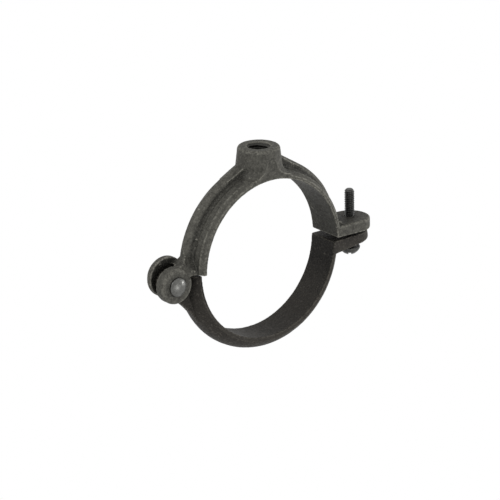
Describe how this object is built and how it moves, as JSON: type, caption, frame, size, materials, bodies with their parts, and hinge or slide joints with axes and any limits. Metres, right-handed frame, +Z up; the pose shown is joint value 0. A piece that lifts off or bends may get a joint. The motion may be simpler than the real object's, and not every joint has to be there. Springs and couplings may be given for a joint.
{
  "type": "split pipe clamp",
  "caption": "Hinged cast split ring clamp that hangs a pipe from a threaded rod, closed by a slotted screw.",
  "frame": {"origin": "centre of the upper half's pipe bore, at the middle of its width", "axes": "+Y along the pipe, +Z up the hanger rod; the hinge is at -X and the clamp screw at +X"},
  "size_m": [0.145, 0.025, 0.1152],
  "materials": {
    "cast_upper": "rough cast, dark grey",
    "cast_lower": "rough cast, darker brown grey",
    "rivet_steel": "dull grey steel",
    "screw_steel": "dark oiled steel"
  },
  "bodies": {
    "upper": {"upper_half": "cast_upper", "hinge_rivet": "rivet_steel"},
    "lower": {"lower_half": "cast_lower"},
    "screw": {"clamp_screw": "screw_steel"}
  },
  "joints": [
    {"name": "jaw_swing", "type": "hinge", "parent": "upper", "child": "lower", "pos_m": [-0.0611, 0, -0.004], "axis": [0, 1, 0], "range_deg": [-1.1, 10]},
    {"name": "screw_travel", "type": "slide", "parent": "upper", "child": "screw", "axis": [0, 0, 1], "range_m": [-0.0215, 0.0024]}
  ],
  "couplings": [
    {"joint": "screw_travel", "follows": "jaw_swing", "m_per_rad": -0.1228}
  ]
}
